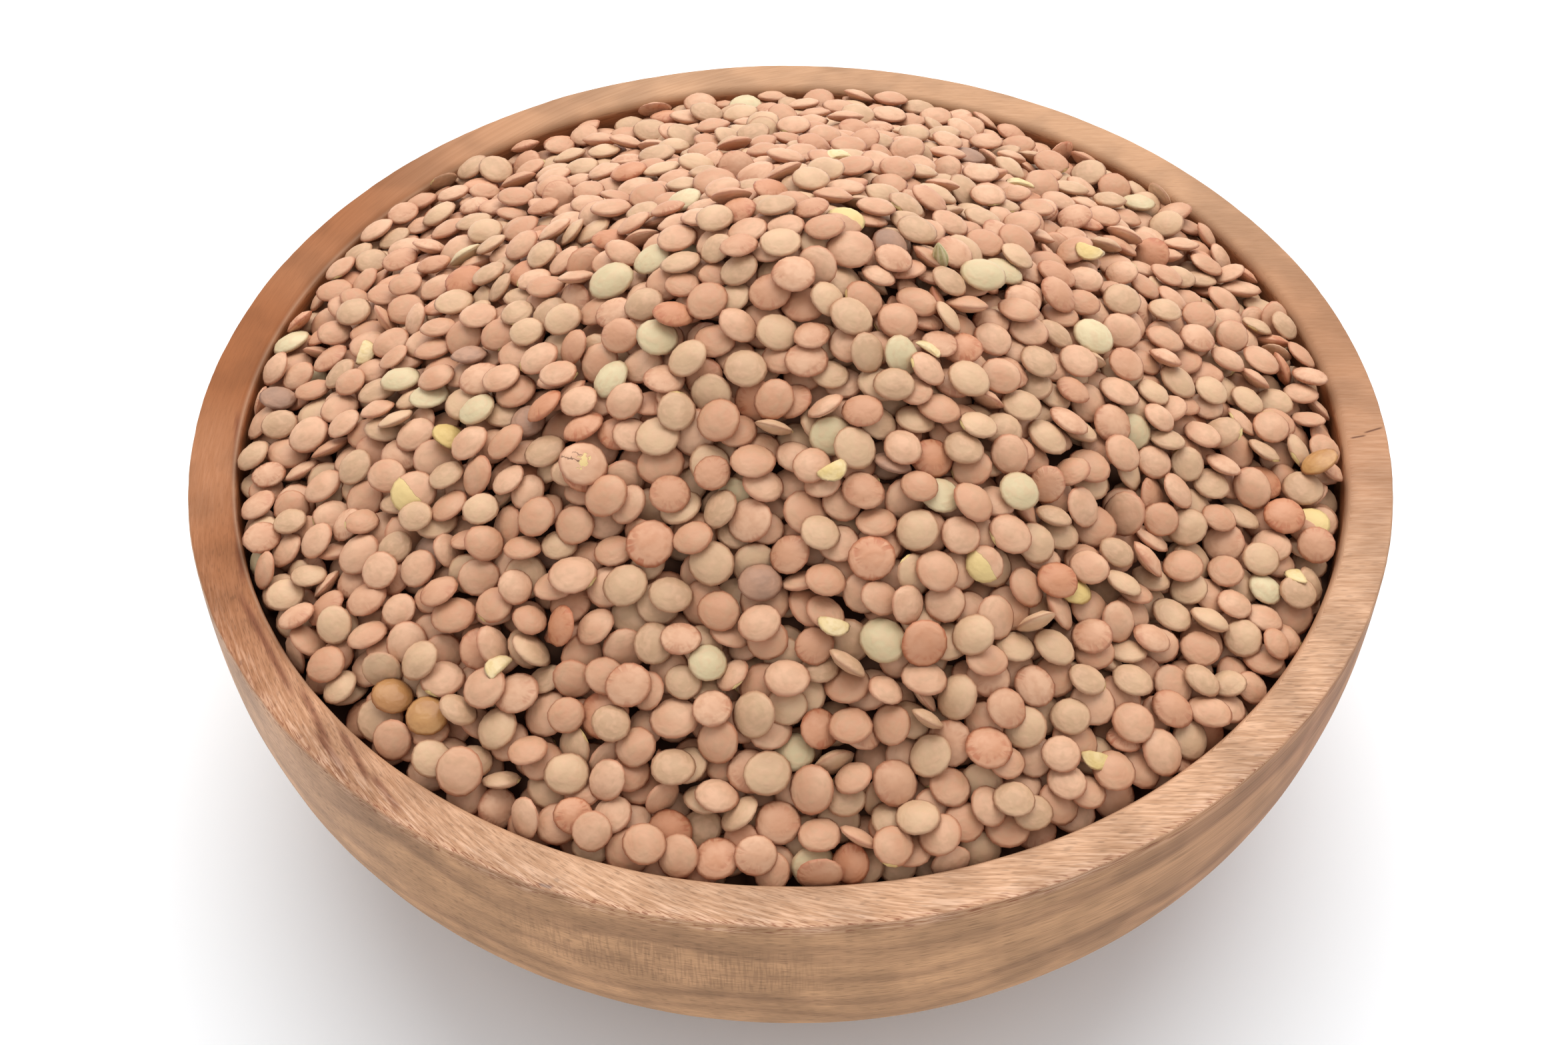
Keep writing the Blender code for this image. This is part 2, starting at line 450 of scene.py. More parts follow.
def bowl_tree():
    """The bowl as an outline of curves swept round a circle and welded."""
    length = "NodeSocketFloat"
    inputs = {
        "Rim Radius": (length, RIM_RADIUS),
        "Height": (length, BOWL_HEIGHT),
        "Rim Width": (length, RIM_WIDTH),
        "Inner Edge": (length, INNER_EDGE_ROUND),
        "Outer Edge": (length, OUTER_EDGE_ROUND),
        "Base Radius": (length, BASE_RADIUS),
        "Floor": (length, FLOOR_THICKNESS),
        "Outer Drop": (length, OUTER_DROP),
        "Inner Drop": (length, INNER_DROP),
        "Inner Sweep": (length, INNER_SWEEP),
        "Edge Wear": (length, 0.0),
        "Sides": ("NodeSocketInt", 128),
        "Material": ("NodeSocketMaterial", None),
    }
    tree = new_tree("Turned Bowl", inputs)
    graph = Graph(tree)
    given = graph.node("NodeGroupInput").outputs
    radius, height = given["Rim Radius"], given["Height"]
    inner = graph.minus(radius, given["Rim Width"])
    edge, arris = given["Inner Edge"], given["Outer Edge"]
    base = given["Base Radius"]

    def spot(across, up):
        """A place on the outline, across from the rim's outside and turned as the sweep needs."""
        return graph.joined(graph.minus(across, radius), graph.times(up, -1.0), 0.0)

    def run(start, start_handle, end_handle, end, steps):
        sockets = {"Resolution": steps, "Start": start, "Start Handle": start_handle,
                   "End Handle": end_handle, "End": end}
        return graph.node("GeometryNodeCurvePrimitiveBezierSegment", sockets, mode="POSITION").outputs[0]

    def line(start, end, steps):
        return run(start, start, end, end, steps)

    arris_low = graph.minus(height, arris)
    arris_in = graph.minus(radius, arris)
    arris_bend = graph.times(arris, QUARTER_HANDLE)
    edge_low = graph.minus(height, edge)
    edge_out = graph.plus(inner, edge)
    edge_bend = graph.times(edge, QUARTER_HANDLE)
    sweep_out = graph.plus(base, OUTER_SWEEP * math.cos(BASE_SLOPE))
    runs = (
        line(spot(0.0, 0.0), spot(base, 0.0), UNDERSIDE_STEPS),
        run(spot(base, 0.0), spot(sweep_out, OUTER_SWEEP * math.sin(BASE_SLOPE)),
            spot(radius, graph.minus(arris_low, given["Outer Drop"])), spot(radius, arris_low),
            OUTER_WALL_STEPS),
        run(spot(radius, arris_low), spot(radius, graph.plus(arris_low, arris_bend)),
            spot(graph.plus(arris_in, arris_bend), height), spot(arris_in, height), ARRIS_STEPS),
        line(spot(arris_in, height), spot(edge_out, height), RIM_TOP_STEPS),
        run(spot(edge_out, height), spot(graph.minus(edge_out, edge_bend), height),
            spot(inner, graph.plus(edge_low, edge_bend)), spot(inner, edge_low), INNER_EDGE_STEPS),
        run(spot(inner, edge_low), spot(inner, graph.minus(edge_low, given["Inner Drop"])),
            spot(given["Inner Sweep"], given["Floor"]), spot(0.0, given["Floor"]), INNER_WALL_STEPS),
    )
    rail = graph.node(
        "GeometryNodeCurvePrimitiveCircle", {"Resolution": given["Sides"], "Radius": radius}).outputs[0]
    strips = graph.node("GeometryNodeJoinGeometry")
    for outline in reversed(runs):
        swept = graph.node("GeometryNodeCurveToMesh", {"Curve": rail, "Profile Curve": outline})
        tree.links.new(swept.outputs[0], strips.inputs[0])
    welded = graph.node(
        "GeometryNodeMergeByDistance", {"Geometry": strips.outputs[0], "Distance": WELD_DISTANCE}).outputs[0]
    outward = graph.node("GeometryNodeFlipFaces", {0: welded}).outputs[0]

    place = graph.node("GeometryNodeInputPosition").outputs[0]
    axes = graph.split(place)
    across = graph.length(graph.joined(axes[0], axes[1], 0.0))
    near_edge = graph.times(
        graph.rise(across, *(RIM_RADIUS - inward for inward in WORN_IN)),
        graph.rise(axes[2], *(BOWL_HEIGHT - down for down in WORN_DOWN)),
    )
    tears = graph.rise(graph.noise(place, TEAR_COUNT, 1.0), 0.45, 0.68)
    tears = graph.times(tears, graph.rise(axes[1], -0.020, -0.060, 0.25, 1.0))
    depth = graph.times(near_edge, tears, given["Edge Wear"])
    soft = graph.times(graph.minus(graph.noise(place, UNEVEN_COUNT, 1.0), 0.5), UNEVENNESS)
    total = graph.minus(soft, depth)
    normal = graph.node("GeometryNodeInputNormal").outputs[0]
    above_base = graph.rise(axes[2], *UNEVEN_FROM)
    offset = graph.scaled(normal, graph.times(total, above_base))
    worn = graph.node("GeometryNodeSetPosition", {"Geometry": outward, "Offset": offset}).outputs[0]
    smooth = graph.node("GeometryNodeSetShadeSmooth", {"Geometry": worn}).outputs[0]
    whole = graph.node("GeometryNodeRealizeInstances", {"Geometry": smooth}).outputs[0]
    finished = graph.node(
        "GeometryNodeSetMaterial", {"Geometry": whole, "Material": given["Material"]}).outputs[0]
    graph.node("NodeGroupOutput", {0: finished})
    return tree


def fibre_noise(graph, layer, forward, fine, along, detail):
    """Noise drawn out along the fibres: fine and along are its counts per millimetre."""
    vector = graph.joined(graph.times(layer, fine), 0.0, graph.times(forward, along))
    return graph.noise(vector, 1.0, detail, 0.6)


def line_nearness(graph, x, y, waver, start, end, reach):
    """1 on the line from start to end in plan, falling to 0 at reach to each side."""
    run = Vector(end) - Vector(start)
    long = run.length
    run.normalize()
    from_x = graph.minus(x, start[0])
    from_y = graph.minus(y, start[1])
    along = graph.plus(graph.times(from_x, run.x), graph.times(from_y, run.y))
    aside = graph.minus(graph.times(from_x, run.y), graph.times(from_y, run.x))
    off = graph.math("ABSOLUTE", graph.plus(aside, waver))
    fade = 0.25 * long
    ends = graph.times(graph.rise(along, 0.0, fade), graph.rise(along, long - fade, long, 1.0, 0.0))
    return graph.times(graph.rise(off, 0.1 * reach, reach, 1.0, 0.0), ends)


# Lines on the rim's top in plan, in millimetres
STREAKS = (
    ((-88.0, -36.0), (-74.0, -61.0)),
    ((-75.0, -56.0), (-67.5, -70.0)),
    ((-68.0, -64.0), (-61.0, -76.0)),
    ((-91.5, -14.0), (-86.0, -38.0)),
    ((-71.5, -64.5), (-64.5, -75.0)),
    ((-62.0, -73.0), (-56.0, -81.0)),
    ((-93.5, 4.0), (-91.0, -16.0)),
)
STREAK_REACH = 0.9
CRACKS = (((93.4, -3.4), (96.6, -2.6)), ((95.8, -2.2), (99.8, -0.6)))
CRACK_REACH = 0.30
SMUDGE = ((-35.6, -92.6), (-33.4, -93.5))
SMUDGE_REACH = 0.45
RED_TEARS = (0.30, 0.095, 0.045, 1.0)
SMUDGE_GREY = (0.15, 0.14, 0.14, 1.0)


def wood_coordinates(graph):
    """Place in millimetres, with the layer across the fibres and the way along them."""
    place = graph.scaled(graph.node("ShaderNodeTexCoord").outputs["Object"], 1000.0)
    x, y, up = graph.split(place)
    normal = graph.split(graph.node("ShaderNodeNewGeometry").outputs["Normal"])
    flat_top = graph.rise(normal[2], 0.5, 0.9)
    left = graph.math("MINIMUM", graph.minus(x, GRAIN_MIDDLE[0]), 0.0)
    back = graph.minus(y, GRAIN_MIDDLE[1])
    across = graph.length(graph.joined(left, back, 0.0))
    down_wall = graph.times(graph.minus(up, across), graph.minus(1.0, flat_top))
    layer = graph.plus(across, down_wall)
    return place, flat_top, layer, graph.minus(x, y)


def rim_color(graph, settings, x, y, fibres, slow):
    """Pinkish at the front, deeper at the back, and red heartwood with streaks at the left."""
    top = graph.blend(graph.rise(fibres, 0.25, 0.78), opaque(settings.rim_deep), opaque(settings.rim_light))
    top = graph.blend(graph.rise(y, -20.0, 30.0, 0.0, 0.75), top, opaque(settings.rim_back))
    leftward = graph.times(graph.rise(x, -95.0, -25.0, 1.0, 0.0), graph.rise(y, -75.0, -15.0, 0.62, 1.0))
    rightward = graph.times(graph.rise(x, 55.0, 85.0, 0.0, 0.42), graph.rise(y, -40.0, 5.0))
    rightward = graph.times(rightward, graph.rise(y, 20.0, 60.0, 1.0, 0.15))
    redder = graph.times(graph.most(leftward, rightward), graph.rise(slow, 0.30, 0.60, 1.0, 0.8))
    top = graph.blend(redder, top, opaque(settings.heartwood_and_inner_shade))
    waver = graph.times(graph.minus(fibres, 0.5), 0.8)
    streaks = graph.most(*(line_nearness(graph, x, y, waver, *ends, STREAK_REACH) for ends in STREAKS))
    return graph.blend(graph.times(streaks, 0.7), top, opaque(settings.streak))


def wall_color(graph, settings, x, y, up, slow):
    """Level tan bands, painted floor bounce light low down, painted shade on the right, and fine upright
    rays in one patch at the front.
    """
    height = graph.plus(graph.times(up, 0.16), graph.times(slow, 2.4))
    bands = graph.noise(graph.joined(height, 0.0, slow), 1.3, 1.0, 0.6)
    light, deep = opaque(settings.wall_light), opaque(settings.wall_deep)
    wall = graph.blend(graph.rise(bands, 0.26, 0.66), deep, light)
    # Painted bounce light: lighter towards the bottom of the wall, as if lit from the pale floor
    wall = graph.blend(graph.rise(up, 50.0, 22.0, 0.0, 0.75), wall, light)
    pale = graph.times(graph.rise(x, -50.0, -88.0, 0.0, 0.6), graph.rise(up, 35.0, 55.0, 0.3, 1.0))
    wall = graph.blend(pale, wall, opaque(settings.torn))
    # Painted shade: the wall's right is blended browner and darker
    right_shade = graph.times(graph.rise(x, 30.0, 85.0), graph.rise(slow, 0.40, 0.60, 0.40, 0.7))
    wall = graph.blend(right_shade, wall, opaque(settings.wall_right_shade))
    ticks = graph.joined(graph.times(x, 2.6), 0.0, graph.times(up, 0.20))
    rays = graph.rise(graph.noise(ticks, 1.0, 0.0), 0.46, 0.60)
    patch = graph.times(graph.between(x, -46.0, 10.0, 14.0), graph.between(up, 46.0, 61.0, 3.0))
    patch = graph.times(patch, graph.rise(y, -70.0, -80.0))
    return graph.blend(graph.times(rays, patch, 0.5), wall, deep)


def wood_material(settings):
    """Bare turned hardwood: pinkish on the rim's top, greyer and banded on the wall."""
    material, graph, shader = new_material("turned_wood", 0.62, 0.10)
    place, flat_top, layer, forward = wood_coordinates(graph)
    x, y, up = graph.split(place)
    radius = graph.length(graph.joined(x, y, 0.0))
    fibres = fibre_noise(graph, layer, forward, *BROAD_GRAIN)
    grain = fibre_noise(graph, layer, forward, *FINE_GRAIN)
    slow = graph.noise(place, SLOW_COUNT, 0.0)
    inside = graph.times(graph.rise(radius, 92.0, 93.0, 1.0, 0.0), graph.rise(up, 48.0, 54.0))
    color = graph.blend(
        graph.most(flat_top, inside),
        wall_color(graph, settings, x, y, up, slow),
        rim_color(graph, settings, x, y, fibres, slow),
    )

    # Painted shade with a warm bounce: the inner wall below the rim is blended towards the dark red
    # heartwood
    inner_wall_shade = graph.times(inside, graph.rise(up, 65.8, 64.4, 0.0, 0.9))
    color = graph.blend(inner_wall_shade, color, opaque(settings.heartwood_and_inner_shade))

    front = graph.times(graph.rise(up, 63.4, 65.2), graph.rise(y, -25.0, -80.0))
    worn = graph.times(graph.between(radius, 96.0, 103.0, 2.8), front)
    pale_fibres = graph.times(worn, graph.rise(fibres, 0.44, 0.66, 0.0, 0.55))
    color = graph.blend(pale_fibres, color, opaque(settings.torn))
    arris = graph.times(graph.rise(radius, 98.2, 99.6), front)
    red_tears = graph.times(arris, graph.rise(grain, 0.48, 0.36, 0.0, 0.65))
    color = graph.blend(red_tears, color, RED_TEARS)

    lines = graph.times(graph.rise(fibres, 0.26, 0.74, 0.86, 1.10), graph.rise(grain, 0.30, 0.46, 0.74, 1.0))
    plainness = graph.times(flat_top, graph.rise(y, -55.0, -10.0, 0.0, 0.7))
    lines = graph.plus(graph.times(lines, graph.minus(1.0, plainness)), plainness)
    mottle = graph.rise(graph.noise(place, MOTTLE_COUNT, 1.0), 0.36, 0.64, 0.90, 1.10)
    lines = graph.times(lines, mottle)
    color = graph.scaled(color, graph.times(lines, graph.rise(slow, 0.35, 0.65, 0.95, 1.05)))
    cracks = graph.most(*(line_nearness(graph, x, y, 0.0, *ends, CRACK_REACH) for ends in CRACKS))
    cracks = graph.times(cracks, graph.rise(up, 62.5, 64.5))
    color = graph.blend(graph.times(cracks, 0.9), color, opaque(settings.pore))
    smudge = graph.times(line_nearness(graph, x, y, 0.0, *SMUDGE, SMUDGE_REACH), flat_top)
    color = graph.blend(graph.times(smudge, 0.45), color, SMUDGE_GREY)
    graph.paint(shader, color)

    relief = graph.plus(graph.times(fibres, 0.4), graph.times(grain, 0.4))
    relief = graph.minus(relief, graph.times(cracks, 1.5))
    graph.emboss(shader, relief, 0.2)
    return material


class LENTILBOWL_OT_turn_bowl(bpy.types.Operator):
    """Turn the wooden bowl"""

    bl_idname = "lentil_bowl.turn_bowl"
    bl_label = "Turn Bowl"

    def execute(self, context):
        settings = context.scene.lentil_bowl.bowl
        values = {
            "Rim Radius": settings.rim_radius,
            "Height": settings.height,
            "Edge Wear": settings.wear,
            "Sides": settings.sides,
            "Material": wood_material(settings),
        }
        bowl = grown("turned_bowl", bowl_tree(), bpy.data.meshes.new("outline"), values)
        place_on_model(bowl, "turned_wood", "bowl")
        return {"FINISHED"}


# Bed under the lentils

BED_SIDES = 192
BED_RINGS = 60
BED_WALL_STEPS = 16
# How far below the bed's edge its side leaves the wall
BED_SIDE_DROP = 0.003
BED_CELL_COUNT = 190.0
# Painted shade of the deep lentils that show through the gaps
BED_SHADE_BROWN = (0.20, 0.105, 0.065, 1.0)
BED_SHADOW = (0.05, 0.022, 0.014, 1.0)


def bed_material():
    """Painted shade: dark brown cells that stand for the lentils lying in shade deep between the others."""
    material, graph, shader = new_material("lentil_bed_shade", 0.8, 0.1)
    place = graph.node("ShaderNodeTexCoord").outputs["Object"]
    sockets = {"Vector": place, "Scale": BED_CELL_COUNT}
    cells = graph.node("ShaderNodeTexVoronoi", sockets).outputs["Distance"]
    color = graph.blend(graph.rise(cells, 0.1, 0.7), BED_SHADE_BROWN, BED_SHADOW)
    graph.paint(shader, color)
    return material


def bed_piece(depth):
    """A closed solid that fills the bowl up to a depth below the heap's surface."""
    turns = np.arange(BED_SIDES) * 2.0 * math.pi / BED_SIDES
    reach = INNER_RADIUS - WALL_CLEARANCE
    wall = curve_points(
        (INNER_RADIUS, BOWL_HEIGHT - INNER_EDGE_ROUND),
        (INNER_RADIUS, BOWL_HEIGHT - INNER_EDGE_ROUND - INNER_DROP),
        (INNER_SWEEP, FLOOR_THICKNESS),
        (0.0, FLOOR_THICKNESS),
        BED_WALL_STEPS,
    )
    wall = wall[(wall[:, 1] < BOWL_HEIGHT + WALL_LEVEL - depth - BED_SIDE_DROP) & (wall[:, 0] > 0.0)]
    loops = []
    for ring in range(1, BED_RINGS + 1):
        radius = reach * ring / BED_RINGS
        x, y = radius * np.cos(turns), radius * np.sin(turns)
        loops.append(np.stack([x, y, heap_height(x, y) - depth], 1))
    for radius, height in wall:
        inward = radius - WALL_CLEARANCE
        level = np.full(BED_SIDES, height)
        loops.append(np.stack([inward * np.cos(turns), inward * np.sin(turns), level], 1))
    corners = np.concatenate(loops).tolist()
    top = len(corners)
    bottom = top + 1
    corners.append((0.0, 0.0, float(heap_height(0.0, 0.0)) - depth))
    corners.append((0.0, 0.0, FLOOR_THICKNESS + WALL_CLEARANCE))
    faces = []
    last = (len(loops) - 1) * BED_SIDES
    for side in range(BED_SIDES):
        after = (side + 1) % BED_SIDES
        faces.append((top, side, after))
        faces.append((bottom, last + after, last + side))
        for loop in range(len(loops) - 1):
            here = loop * BED_SIDES
            there = here + BED_SIDES
            faces.append((here + side, there + side, there + after, here + after))
    return mesh_piece("lentil_bed_shade", corners, faces, bed_material())


class LENTILBOWL_OT_fill_bed(bpy.types.Operator):
    """Fill the bowl under the loose lentils"""

    bl_idname = "lentil_bowl.fill_bed"
    bl_label = "Fill Bed"

    def execute(self, context):
        bed = bed_piece(context.scene.lentil_bowl.lentils.depth)
        place_on_model(bed, "lentil_skin")
        return {"FINISHED"}


# Lentils


class Heap:
    """Height map of the heap as lentils settle on it."""

    def __init__(self, depth):
        self.half = int(INNER_RADIUS / CELL) + REACH + MAP_MARGIN
        self.axis = np.arange(-self.half, self.half + 1) * CELL
        x, y = np.meshgrid(self.axis, self.axis, indexing="ij")
        toward_wall = np.clip((np.hypot(x, y) - WALL_BANK) / (INNER_RADIUS - WALL_BANK), 0.0, 1.0)
        self.surface = heap_height(x, y) - SINK + BANK_RISE * toward_wall ** 2
        self.ground = self.surface - depth
        beyond = np.hypot(x, y) > INNER_RADIUS - WALL_CLEARANCE
        self.ground[beyond] = BOWL_HEIGHT + BLOCKED
        self.slope_x = np.gradient(self.surface, CELL, axis=0)
        self.slope_y = np.gradient(self.surface, CELL, axis=1)
        self.blocks = len(self.axis) // BLOCK
        self.room = np.zeros((self.blocks, self.blocks))
        self.measure_room(0, self.blocks, 0, self.blocks)
        cells = np.arange(-REACH, REACH + 1) * CELL
        self.dx, self.dy = np.meshgrid(cells, cells, indexing="ij")

    def measure_room(self, low_i, high_i, low_j, high_j):
        """Mean free depth under the heap's surface in each block of a range."""
        part = np.s_[low_i * BLOCK:high_i * BLOCK, low_j * BLOCK:high_j * BLOCK]
        free = np.maximum(self.surface[part] - self.ground[part], 0.0)
        shape = (high_i - low_i, BLOCK, high_j - low_j, BLOCK)
        self.room[low_i:high_i, low_j:high_j] = free.reshape(shape).mean(axis=(1, 3))

    def upright(self, i, j):
        """Axis of a lentil at rest, which lies flatter than the slope under it."""
        axis = np.array([-LIE_FLATTER * self.slope_x[i, j], -LIE_FLATTER * self.slope_y[i, j], 1.0])
        return axis / np.linalg.norm(axis)

    def shell(self, axes, radius, half):
        """Lower and upper surface of the lentil on the map, for each way it may lean."""
        wide = 1.0 / (radius * radius)
        extra = 1.0 / (half * half) - wide
        nx, ny, nz = (part[:, None, None] for part in axes.T)
        along = nx * self.dx + ny * self.dy
        square = wide + extra * nz * nz
        cross = extra * nz * along
        rest = wide * (self.dx ** 2 + self.dy ** 2) + extra * along ** 2 - 1.0
        under_root = cross ** 2 - square * rest
        inside = under_root > 0.0
        root = np.sqrt(np.where(inside, under_root, 0.0))
        low = np.where(inside, (-cross - root) / square, 1.0)
        high = np.where(inside, (-cross + root) / square, -1.0)
        return low, high

    def window(self, i, j):
        return self.ground[i - REACH:i + REACH + 1, j - REACH:j + REACH + 1]

    def places_near(self, i, j):
        """The cell itself and cells on rings round it."""
        yield i, j
        for ring in SHIFT_RINGS:
            for step in range(SHIFTS_ROUND):
                turn = step * 2.0 * math.pi / SHIFTS_ROUND
                yield i + round(ring * math.cos(turn)), j + round(ring * math.sin(turn))

    def settle(self, i, j, axes, radius, half, most_proud):
        """Rest a lentil near a cell in the lowest of the ways given, or return None."""
        low, high = self.shell(axes, radius - CONTACT_EASE, half - CONTACT_EASE)
        upright = self.upright(i, j)
        lean_cost = LEAN_COST * (1.0 - axes @ upright)
        best = None
        for p, q in self.places_near(i, j):
            heights = (self.window(p, q)[None] - low).max(axis=(1, 2))
            proud = heights - self.surface[p, q] + lean_cost
            way = int(proud.argmin())
            if best is None or proud[way] < best[0]:
                best = (proud[way], p, q, way, heights[way])
        proud, p, q, way, height = best
        if proud > most_proud:
            return None
        ground = self.window(p, q)
        np.maximum(ground, height + high[way], out=ground, where=high[way] > -1.0)
        low_i, high_i = (p - REACH) // BLOCK, (p + REACH) // BLOCK + 1
        low_j, high_j = (q - REACH) // BLOCK, (q + REACH) // BLOCK + 1
        self.measure_room(low_i, high_i, low_j, high_j)
        return (self.axis[p], self.axis[q], height), axes[way]

    def open_rim(self):
        """From now on lentils may rest on the rim's true form."""
        x, y = np.meshgrid(self.axis, self.axis, indexing="ij")
        across = np.hypot(x, y)
        inward = np.clip(INNER_RADIUS + INNER_EDGE_ROUND - across, 0.0, INNER_EDGE_ROUND)
        rim = BOWL_HEIGHT - INNER_EDGE_ROUND + np.sqrt(INNER_EDGE_ROUND ** 2 - inward ** 2)
        beyond = across > INNER_RADIUS - WALL_CLEARANCE
        self.ground[beyond] = rim[beyond]

    def cell(self, x, y):
        """The cell at a place in millimetres."""
        return self.half + round(x * MILLIMETRE / CELL), self.half + round(y * MILLIMETRE / CELL)

    def drop(self, draw, settings, i, j, most_proud, kind, axes=None):
        """Drop one lentil of a drawn size near a cell, or return None where it doesn't fit."""
        radius = float(np.clip(draw.normal(settings.radius, settings.radius_spread), *RADIUS_RANGE))
        half = radius * float(np.clip(draw.normal(settings.thickness, THICKNESS_SPREAD), *THICKNESS_RANGE))
        if kind in BROKEN_SHARES:
            radius, half = BROKEN_SHARES[kind][0] * radius, BROKEN_SHARES[kind][1] * half
        if axes is None:
            upright = self.upright(i, j)
            if kind in KIND_SHARES and draw.random() < settings.wedged:
                axes = standing_axes(draw, upright, WAYS)
            else:
                axes = leaning_axes(draw, upright, settings.lean, WAYS)
        found = self.settle(i, j, axes, radius, half, most_proud)
        if found is None:
            return None
        place, axis = found
        return {
            "kind": kind,
            "place": np.array(place),
            "axis": axis,
            "size": np.array([radius, radius * draw.uniform(LEAST_WIDTH, 1.0), half]),
            "spin": draw.uniform(0.0, 2.0 * math.pi),
            "tint": draw.random(),
            "mark": draw.random(3),
        }


def leaning_axes(draw, upright, lean, count):
    """Axes leaning from upright by angles drawn about lean."""
    side = np.cross(upright, (0.0, 1.0, 0.0))
    side /= np.linalg.norm(side)
    fore = np.cross(upright, side)
    tilt = np.abs(draw.normal(0.0, 1.0, count)) * lean
    turn = draw.uniform(0.0, 2.0 * math.pi, count)
    sideways = np.cos(turn)[:, None] * side + np.sin(turn)[:, None] * fore
    return np.cos(tilt)[:, None] * upright + np.sin(tilt)[:, None] * sideways


def standing_axes(draw, upright, count):
    """Axes of lentils wedged on edge."""
    axes = leaning_axes(draw, upright, 1.0, count)
    sideways = axes - (axes @ upright)[:, None] * upright
    sideways /= np.linalg.norm(sideways, axis=1)[:, None]
    tilt = draw.uniform(*STANDING_TILT, count)[:, None]
    return np.cos(tilt) * upright + np.sin(tilt) * sideways


def rim_axes(draw, x, y, count):
    """Axes of lentils whose outer edge is up on the rim."""
    outward = np.array([x, y, 0.0]) / math.hypot(x, y)
    aside = np.array([-outward[1], outward[0], 0.0])
    tilt = draw.uniform(*RIM_TILT, count)[:, None]
    turn = draw.normal(0.0, RIM_TURN, count)[:, None]
    axes = np.cos(tilt) * np.array([0.0, 0.0, 1.0]) - np.sin(tilt) * outward + turn * aside
    return axes / np.linalg.norm(axes, axis=1)[:, None]


# Ways of lying that each lentil tries, and what leaning costs it against standing proud
WAYS = 28
LEAN_COST = 0.0006
STANDING_TILT = (math.radians(45.0), math.radians(80.0))
RIM_TILT = (math.radians(25.0), math.radians(55.0))
RIM_TURN = 0.2

# Sizes of a lentil: its radius, and its thickness and width as shares of its diameter
RADIUS_RANGE = (0.0029, 0.0039)
THICKNESS_SPREAD = 0.03
THICKNESS_RANGE = (0.29, 0.43)
LEAST_WIDTH = 0.90

# Share of each kind among the lentils that are dropped at random
KIND_SHARES = {"pink": 0.53, "olive": 0.265, "creased": 0.145, "rosy": 0.042, "pale": 0.012, "dark": 0.006}

# The mean free depth that still calls for a lentil, and how far its middle may stand proud
FIRST_GAPS = (0.0006, 0.0)
LATER_GAPS = ((0.0005, 0.0014), (0.0006, 0.0021), (0.0004, 0.0027))
LUCK = 0.0005
MOST_TRIES = 6000

# Radius and thickness of broken kinds, as shares of a whole lentil's
BROKEN_SHARES = {"split": (0.88, 0.8), "chip": (0.78, 0.5)}
# How round their under side is, and where chips end, as shares of the round side and of the radius
BROKEN_UNDER_SIDE = 0.12
CHIP_END = 0.15
# How far apart the marks set the patterns of two lentils
DENT_SHIFT = 60.0
SKIN_SHIFT = 40.0


def drop_at_random(heap, draw, settings, enough, most_proud):
    """Drop lentils into the emptiest places until no place wants or takes one."""
    dropped = []
    closed = np.zeros(heap.room.shape, bool)
    for _ in range(MOST_TRIES):
        luck = draw.normal(0.0, LUCK, heap.room.shape)
        wanted = np.where(closed | (heap.room < enough), -1.0, heap.room + luck)
        a, b = divmod(int(wanted.argmax()), heap.blocks)
        if wanted[a, b] == -1.0:
            break
        i = a * BLOCK + int(draw.integers(0, BLOCK))
        j = b * BLOCK + int(draw.integers(0, BLOCK))
        kind = str(draw.choice(list(KIND_SHARES), p=list(KIND_SHARES.values())))
        lentil = heap.drop(draw, settings, i, j, most_proud, kind)
        if lentil is None:
            closed[a, b] = True
        else:
            dropped.append(lentil)
    return dropped


def drop_named(heap, draw, settings, places):
    """Drop the lentils that catch the eye at their own places."""
    return [
        heap.drop(draw, settings, *heap.cell(x, y), BLOCKED, kind)
        for kind, spots in places.items()
        for x, y in spots
    ]


def lean_on_rim(heap, draw, settings):
    """Lay a few lentils with one edge up on the rim."""
    heap.open_rim()
    return [
        heap.drop(draw, settings, *heap.cell(x, y), BLOCKED, kind, rim_axes(draw, x, y, WAYS))
        for kind, spots in RIM_PLACES.items()
        for x, y in spots
    ]


def settle_lentils(settings):
    """Fill the gaps, lay the named lentils, cover the gaps that are left over, and end with the bits."""
    draw = np.random.default_rng(settings.seed)
    heap = Heap(settings.depth)
    lentils = drop_at_random(heap, draw, settings, *FIRST_GAPS)
    lentils += drop_named(heap, draw, settings, NAMED_PLACES)
    for enough, most_proud in LATER_GAPS:
        lentils += drop_at_random(heap, draw, settings, enough, most_proud)
    bits = drop_named(heap, draw, settings, BIT_PLACES)
    for bit in bits:
        bit["place"][2] -= BITS_SUNK
    return lentils + bits + lean_on_rim(heap, draw, settings)


